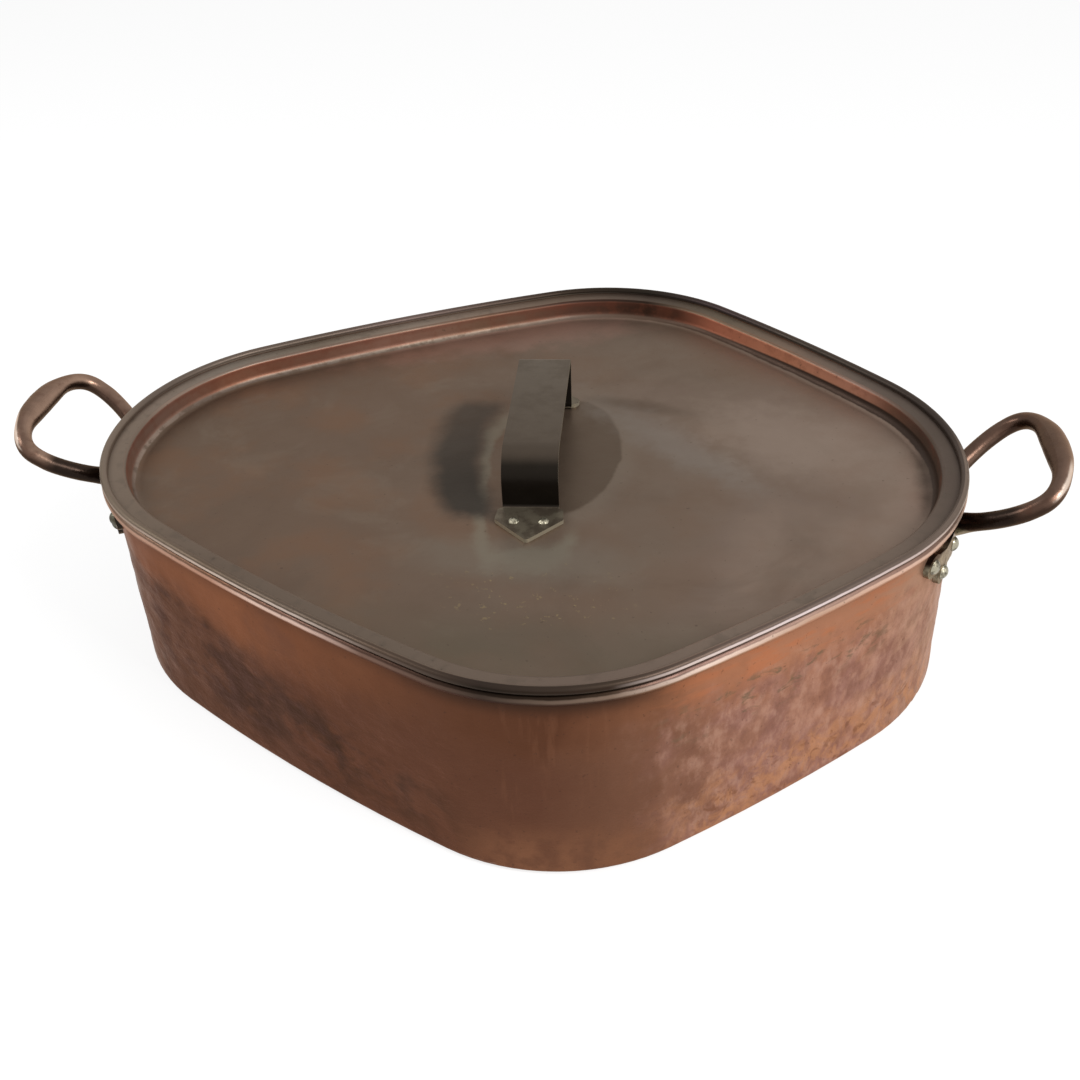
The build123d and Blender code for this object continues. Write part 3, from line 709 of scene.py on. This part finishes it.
def well_wall(n):
    """orange at the back, dark at the right end as painted shade"""
    # Painted shade darkens the right end of the wall.
    colour = n.ramp(n.x, (-0.265, (112, 96, 86)), (-0.25, (128, 101, 88)), (-0.22, (134, 92, 72)),
                    (-0.17, (124, 88, 72)), (-0.11, (144, 108, 92)), (-0.06, (126, 96, 78)),
                    (-0.006, (98, 68, 56)), (0.056, (58, 39, 30)), (0.08, (84, 54, 42)),
                    (0.105, (176, 110, 86)), (0.16, (196, 136, 108)), (0.205, (184, 132, 110)),
                    (0.225, (116, 84, 69)), (0.24, (80, 63, 54)), (0.265, (68, 57, 50)))
    colour = n.laid(colour, (122, 70, 52), n.span(n.noise(0.012, 4, 0.7), 0.45, 0.65), 0.3)
    upper = n.span(n.wander(n.z, 0.02, 0.001), RIM_TOP - 4 * MM, RIM_TOP - 1 * MM)
    return n.laid(colour, (124, 66, 50), upper, n.span(n.x, 0.06, -0.02, 0.1, 0.3))


def well_foot(n):
    """bend at the foot of the well: a painted highlight at the left end, painted shade along the right,
    scuffed pale at the left
    """
    # Painted highlight at the left end, painted shade to the right.
    colour = n.ramp(n.x, (-0.265, (124, 104, 92)), (-0.252, (150, 131, 117)), (-0.232, (104, 89, 79)),
                    (-0.16, (114, 101, 91)), (-0.1, (124, 110, 98)), (-0.05, (126, 109, 97)),
                    (0.0, (104, 88, 78)), (0.04, (90, 72, 61)), (0.1, (60, 45, 37)), (0.25, (50, 39, 34)))
    return n.laid(colour, (92, 76, 64), n.span(n.noise(0.01, 5, 0.65), 0.45, 0.6),
                  n.span(n.x, 0.0, -0.06, 0, 0.7))


def well(n, panel):
    """well above its foot, and both above the panel"""
    foot_height = n.math("SUBTRACT", n.z, n.span(n.x, 0.05, 0.22, 2.2 * MM, 5 * MM))
    colour = n.mix(n.span(foot_height, PANEL_TOP, PANEL_TOP + 1.4 * MM), well_foot(n), well_wall(n))
    above_panel = n.span(n.wander(n.z, 0.012, 0.00025), PANEL_TOP + 0.6 * MM, PANEL_TOP + 1.2 * MM)
    return n.mix(above_panel, panel, colour)


def flange_near(n):
    """flange on the near side, brown"""
    return n.ramp(n.x, (-0.265, (116, 102, 90)), (-0.205, (106, 92, 80)), (-0.15, (96, 82, 71)),
                  (-0.03, (98, 85, 74)), (0.08, (104, 89, 79)), (0.13, (111, 96, 85)),
                  (0.18, (108, 94, 83)), (0.22, (102, 88, 78)), (0.265, (68, 58, 53)))


def flange_far(n):
    """flange on the far side, darker at the back corner and the right end"""
    return n.ramp(n.x, (-0.265, (122, 106, 94)), (-0.22, (118, 108, 98)), (-0.17, (112, 99, 86)),
                  (-0.11, (128, 114, 102)), (-0.06, (124, 107, 94)), (-0.006, (102, 86, 74)),
                  (0.056, (70, 59, 52)), (0.113, (96, 84, 70)), (0.161, (112, 93, 80)),
                  (0.205, (96, 84, 76)), (0.265, (68, 58, 52)))


def roll_near(n):
    """rolled edge on the near side, a painted highlight on its outer side, painted shade above and below it
    """
    top = n.ramp(n.x, (-0.265, (116, 103, 90)), (-0.205, (104, 91, 78)), (-0.15, (90, 76, 64)),
                 (-0.095, (88, 76, 66)), (-0.042, (76, 62, 52)), (0.017, (46, 37, 32)),
                 (0.08, (58, 47, 39)), (0.13, (92, 77, 69)), (0.176, (92, 79, 72)), (0.224, (94, 81, 73)),
                 (0.265, (112, 98, 88)))
    # Painted highlight along the roll; near black about the front corner as painted dark reflection.
    painted_crest_highlight = n.ramp(n.x, (-0.265, (124, 112, 99)), (-0.205, (172, 150, 136)), (-0.15, (204, 184, 170)),
                   (-0.095, (204, 186, 174)), (-0.042, (102, 86, 77)), (0.017, (32, 25, 19)),
                   (0.08, (50, 37, 29)), (0.115, (212, 194, 186)), (0.176, (222, 206, 204)),
                   (0.224, (200, 181, 175)), (0.265, (168, 152, 138)))
    worn = n.wander(n.up, 0.015, 0.06)
    colour = n.mix(n.span(worn, 0.26, 0.54), painted_crest_highlight, top)
    return n.mix(n.span(worn, -0.1, -0.35), colour, top)


def roll_far(n):
    """rolled edge on the far side, dark, with a paler line low on it"""
    top = n.ramp(n.x, (-0.265, (100, 88, 79)), (-0.22, (98, 86, 77)), (-0.17, (90, 78, 69)),
                 (-0.11, (100, 85, 80)), (-0.06, (80, 67, 60)), (-0.006, (46, 37, 30)),
                 (0.056, (34, 29, 24)), (0.113, (56, 46, 46)), (0.161, (58, 51, 45)),
                 (0.265, (54, 46, 42)))
    line = n.ramp(n.x, (-0.265, (112, 101, 91)), (-0.22, (146, 133, 121)), (-0.17, (114, 102, 91)),
                  (-0.11, (134, 120, 109)), (-0.006, (112, 105, 93)), (0.056, (66, 57, 51)),
                  (0.113, (74, 66, 58)), (0.161, (96, 83, 74)), (0.205, (82, 73, 67)),
                  (0.265, (60, 52, 47)))
    return n.mix(n.span(n.z, RIM_TOP + 2.4 * MM, RIM_TOP + 2.9 * MM), line, top)


def bend_far(n):
    """bend from the flange into the well, on the far side, painted as its highlight and shade"""
    return n.ramp(n.x, (-0.265, (118, 101, 89)), (-0.25, (140, 120, 106)), (-0.22, (122, 107, 96)),
                  (-0.17, (112, 94, 83)), (-0.11, (118, 99, 86)), (-0.06, (98, 75, 61)),
                  (-0.006, (62, 43, 36)), (0.056, (36, 25, 19)), (0.105, (104, 86, 70)),
                  (0.16, (106, 84, 69)), (0.205, (118, 97, 87)), (0.246, (74, 61, 51)),
                  (0.265, (62, 53, 50)))


def lid_edge(n, colour):
    """the roll's outer side, the bend into the well, the level flange and the roll's inner side, with painted
    highlight and shade on the roll and the far bend
    """
    front, inner = near_side(n), n.inwards()
    near, far = flange_near(n), roll_far(n)
    outer_side = n.both(n.span(n.z, RIM_TOP - 1.5 * MM, RIM_TOP - 0.3 * MM), n.span(inner, 1, 0))
    colour = n.mix(outer_side, colour, n.mix(front, far, roll_near(n)))
    # Painted highlight and shade on the far bend into the well.
    bent = n.both(n.span(n.up, 0.35, 0.6), n.span(n.up, 0.97, 0.9), inner,
                  n.span(n.z, RIM_TOP - 1 * MM, RIM_TOP - 0.3 * MM))
    colour = n.mix(bent, colour, n.mix(front, bend_far(n), near))
    flange = n.mix(front, flange_far(n), near)
    flange = n.laid(flange, (74, 66, 58), n.span(n.noise(0.012, 5, 0.6), 0.5, 0.68), 0.35)
    level = n.both(n.span(n.up, 0.9, 0.97), n.span(n.z, RIM_TOP + 1 * MM, RIM_TOP + 1.4 * MM),
                   n.span(n.z, RIM_TOP + 1.9 * MM, RIM_TOP + 1.6 * MM))
    colour = n.mix(level, colour, flange)
    inner_side = n.both(n.span(n.z, RIM_TOP + 1.6 * MM, RIM_TOP + 1.8 * MM), inner)
    return n.mix(inner_side, colour, n.mix(front, far, near))


def lid_copper():
    """aged copper of the lid, with painted light, shade and shadow, tin under it"""
    n = Nodes("aged_copper_lid")
    colour = panel_tone(n)
    for layer in (strap_halo_and_shadows, panel_marks, well, lid_edge):
        colour = layer(n, colour)
    colour = n.laid(colour, (58, 46, 39), n.span(n.noise(0.003, 2, 0.5), 0.7, 0.76, 0, 0.4))
    underside = n.both(n.span(n.up, -0.4, -0.7), n.span(n.z, PANEL_TOP, PANEL_TOP - 0.3 * MM))
    colour = n.mix(underside, colour, worn_tin(n))
    rough = n.span(n.noise(0.03, 5, 0.6), 0.3, 0.7, 0.34, 0.46)
    normal = n.bump(n.noise(0.03, 3, 0.5), 0.0004)
    normal = n.bump(n.noise(0.0012, 3, 0.6), 0.00004, below=normal)
    return n.finish(colour, rough, normal, 0.5, 0.2, (230, 214, 196))


# Other finishes.
def strap_copper():
    """strap with painted shade on all but its upward faces, painted highlights on its side edges at the bend,
    and paler tabs
    """
    n = Nodes("aged_copper_strap")
    top = n.ramp(n.y, (-0.05, (66, 57, 49)), (-0.02, (76, 67, 58)), (0.08, (88, 80, 71)))
    top = n.laid(top, (72, 63, 54), n.span(n.noise(0.02, 5, 0.65), 0.45, 0.65), 0.5)
    # Painted shade: every face not turned up is near black.
    colour = n.mix(n.span(n.up, 0.93, 0.6), top, linear(29, 25, 21))
    tab = n.mix(n.span(n.noise(0.008, 4, 0.6), 0.4, 0.6), linear(100, 92, 78), linear(80, 71, 60))
    tab = n.laid(tab, (170, 162, 142), n.span(n.up, 0.9, 0.5))
    tab_top = PANEL_TOP + STRAP_SHEET
    colour = n.mix(n.span(n.z, tab_top + 0.3 * MM, tab_top + 0.1 * MM), colour, tab)
    # Painted highlight on the side edges where the strap bends.
    edge = n.span(n.math("ABSOLUTE", n.facing_x), 0.8, 0.95)
    colour = n.laid(colour, (132, 124, 108), edge, n.span(n.z, PANEL_TOP + 14 * MM, PANEL_TOP + 24 * MM))
    rough = n.span(n.noise(0.01, 4), 0.3, 0.7, 0.32, 0.44)
    return n.finish(colour, rough, n.bump(n.noise(0.012, 3, 0.5), 0.0002), 0.5, 0.2, (230, 214, 196))


def bronze():
    """brown bronze: lighter on faces turned right and on top, dark underneath, as painted light and shade; a
    painted highlight at the near bends, black at the roots, dull on the lugs
    """
    n = Nodes("forged_bronze")
    # Painted light: faces turned to the right are lighter, faces turned left darker.
    side = n.wander(n.facing_x, 0.012, 0.2)
    colour = n.ramp(side, (-0.9, (68, 52, 44)), (-0.3, (82, 62, 52)), (0.2, (102, 79, 67)),
                    (0.9, (148, 121, 104)))
    colour = n.laid(colour, (84, 56, 44), n.span(n.noise(0.008, 4, 0.6), 0.52, 0.7), 0.4)
    # Painted light on upward faces.
    colour = n.laid(colour, (150, 130, 116), n.span(n.wander(n.up, 0.01, 0.15), 0.7, 0.95), 0.1)
    # Painted highlight at the near bends.
    highlight_facing = n.wander(n.both(n.facing_x, n.span(n.x, -0.01, 0.01, -1, 1)), 0.006, 0.12)
    colour = n.laid(colour, (236, 216, 200), n.span(highlight_facing, 0.2, 0.5), n.span(n.up, 0.25, 0.5),
                    n.span(n.up, 0.92, 0.75), n.span(n.y, -0.018, -0.029), 0.8)
    # Painted shade on the undersides.
    colour = n.laid(colour, (48, 34, 27), n.span(n.wander(n.up, 0.01, 0.1), 0.5, -0.05), 0.92)
    root = n.span(n.wander(n.math("ABSOLUTE", n.x), 0.006, 0.001), 0.291, 0.283)
    colour = n.laid(colour, (34, 26, 22), root, n.span(n.y, 0.0, -0.012, 0.15, 0.95))
    green = n.mix(n.span(n.noise(0.004, 4, 0.6), 0.36, 0.66), linear(146, 139, 119), linear(98, 90, 74))
    lug = n.mix(n.span(n.x, -0.1, 0.1), linear(38, 33, 29), green)
    colour = n.mix(n.span(n.z, NECK_Z - 9 * MM, NECK_Z - 13 * MM), colour, lug)
    rough = n.span(n.noise(0.012, 4), 0.3, 0.7, 0.24, 0.38)
    return n.finish(colour, rough, n.bump(n.noise(0.009, 3, 0.5), 0.0005), 0.85, 0.35, (235, 214, 196))


def rivet_copper():
    """pale rivet heads, darker on the left lugs"""
    n = Nodes("hammered_rivet")
    pale = n.mix(n.span(n.x, -0.22, -0.2), linear(92, 90, 77), linear(168, 162, 142))
    colour = n.laid(pale, (78, 71, 58), n.span(n.noise(0.003, 3, 0.6), 0.42, 0.62), 0.8)
    rough = n.span(n.noise(0.003, 3), 0.3, 0.7, 0.3, 0.5)
    return n.finish(colour, rough, n.bump(n.noise(0.0025, 2), 0.0008), 0.9)


def tinned():
    """clouded tin of the drainer"""
    n = Nodes("tinned_copper")
    clouds = n.span(n.noise(0.03, 5, 0.6), 0.35, 0.65)
    colour = n.mix(clouds, linear(178, 176, 170), linear(150, 146, 138))
    rough = n.span(n.noise(0.012, 4), 0.3, 0.7, 0.36, 0.52)
    return n.finish(colour, rough, n.bump(n.noise(0.008, 3), 0.0003))


def iron():
    """dull wire inside the rolled edges"""
    n = Nodes("iron_wire")
    colour = n.mix(n.noise(0.006, 4), linear(90, 84, 78), linear(64, 58, 54))
    return n.finish(colour, 0.5, n.bump(n.noise(0.002, 3), 0.0002))


def dress_nodes(finishes):
    """give every CAD node the finish of its slot"""
    for entry in frame["record"]["subparts"]:
        for slot in frame["nodes"][entry["node"]].material_slots:
            slot.material = finishes[entry["material_slot"]]


# Floor, light and camera.
def white_to_eye(tree, lit, seen):
    """a shader that camera, glossy and transmission rays see as seen, and other rays as lit"""
    path = tree.nodes.new("ShaderNodeLightPath")
    direct = path.outputs["Is Camera Ray"]
    for kind in ("Is Glossy Ray", "Is Transmission Ray"):
        either = tree.nodes.new("ShaderNodeMath")
        either.operation = "MAXIMUM"
        tree.links.new(direct, either.inputs[0])
        tree.links.new(path.outputs[kind], either.inputs[1])
        direct = either.outputs[0]
    choose = tree.nodes.new("ShaderNodeMixShader")
    for socket, value in zip(choose.inputs, (direct, lit, seen)):
        tree.links.new(value, socket)
    return choose.outputs[0]


def plain_floor():
    """pale floor: white to the eye, a little darker where the object shades it"""
    bpy.ops.mesh.primitive_plane_add(size=FLOOR_SIZE, location=(0, 0, 0))
    floor = bpy.context.object
    floor.name = "floor"
    material = bpy.data.materials.new("pale_floor")
    material.use_nodes = True
    tree = material.node_tree
    shader = next(n for n in tree.nodes if n.type == "BSDF_PRINCIPLED")
    shader.inputs["Base Color"].default_value = FLOOR_COLOUR
    shader.inputs["Roughness"].default_value = FLOOR_ROUGHNESS
    shade = tree.nodes.new("ShaderNodeBsdfDiffuse")
    shade.inputs["Color"].default_value = FLOOR_SHADE
    glow = tree.nodes.new("ShaderNodeEmission")
    glow.inputs["Strength"].default_value = FLOOR_GLOW
    seen = tree.nodes.new("ShaderNodeAddShader")
    tree.links.new(shade.outputs[0], seen.inputs[0])
    tree.links.new(glow.outputs[0], seen.inputs[1])
    surface = white_to_eye(tree, shader.outputs[0], seen.outputs[0])
    tree.links.new(surface, tree.nodes["Material Output"].inputs["Surface"])
    floor.data.materials.append(material)


def white_world():
    """world: white to the eye, a plain pale grey for the light it gives"""
    world = bpy.data.worlds.new("studio")
    bpy.context.scene.world = world
    world.use_nodes = True
    tree = world.node_tree
    back = tree.nodes["Background"]
    back.inputs["Color"].default_value = WORLD_COLOUR
    seen = tree.nodes.new("ShaderNodeBackground")
    seen.inputs["Color"].default_value = WHITE
    surface = white_to_eye(tree, back.outputs[0], seen.outputs[0])
    tree.links.new(surface, tree.nodes["World Output"].inputs["Surface"])


def area_light(name, place, size, power):
    """square lamp that looks at the kettle"""
    light = bpy.data.lights.new(name, "AREA")
    light.shape = "RECTANGLE"
    light.size = light.size_y = size
    light.energy = power
    obj = bpy.data.objects.new(name, light)
    obj.location = place
    obj.rotation_euler = (Vector(LIGHT_TARGET) - Vector(place)).to_track_quat("-Z", "Y").to_euler()
    obj.visible_camera = False
    bpy.context.scene.collection.objects.link(obj)


def photo_camera():
    """camera that frames the kettle as the photograph does"""
    a, e, r = (math.radians(v) for v in (CAMERA_AZIMUTH, CAMERA_ELEVATION, CAMERA_ROLL))
    back = Vector((math.sin(a) * math.cos(e), -math.cos(a) * math.cos(e), math.sin(e)))
    right = Vector((math.cos(a), math.sin(a), 0))
    up = back.cross(right)
    rolled_right = right * math.cos(r) + up * math.sin(r)
    rolled_up = up * math.cos(r) - right * math.sin(r)
    data = bpy.data.cameras.new("photo_camera")
    data.sensor_width = SENSOR_WIDTH
    data.lens = FOCAL_PIXELS / IMAGE_PIXELS * SENSOR_WIDTH
    camera = bpy.data.objects.new("photo_camera", data)
    turn = Matrix((rolled_right, rolled_up, back)).transposed().to_4x4()
    camera.matrix_world = Matrix.Translation(CAMERA_TARGET + back * CAMERA_DISTANCE) @ turn
    bpy.context.scene.collection.objects.link(camera)
    bpy.context.scene.camera = camera


pan_wall = hammered_wall()
lid = lid_sheet()
FINISHES = {"aged_copper": pan_copper(), "lid_copper": lid_copper(), "strap_copper": strap_copper(),
            "bronze": bronze(), "lug_rivet": rivet_copper(), "iron_wire": iron(), "tinned_copper": tinned()}
FINISHES["strap_rivet"] = FINISHES["lug_rivet"]
dress_nodes(FINISHES)
pan_wall.data.materials.append(FINISHES["aged_copper"])
lid.data.materials.append(FINISHES["lid_copper"])

plain_floor()
white_world()
photo_camera()
area_light("key", KEY_PLACE, KEY_SIZE, KEY_POWER)
area_light("fill", FILL_PLACE, FILL_SIZE, FILL_POWER)
bpy.context.scene.view_settings.view_transform = "Standard"
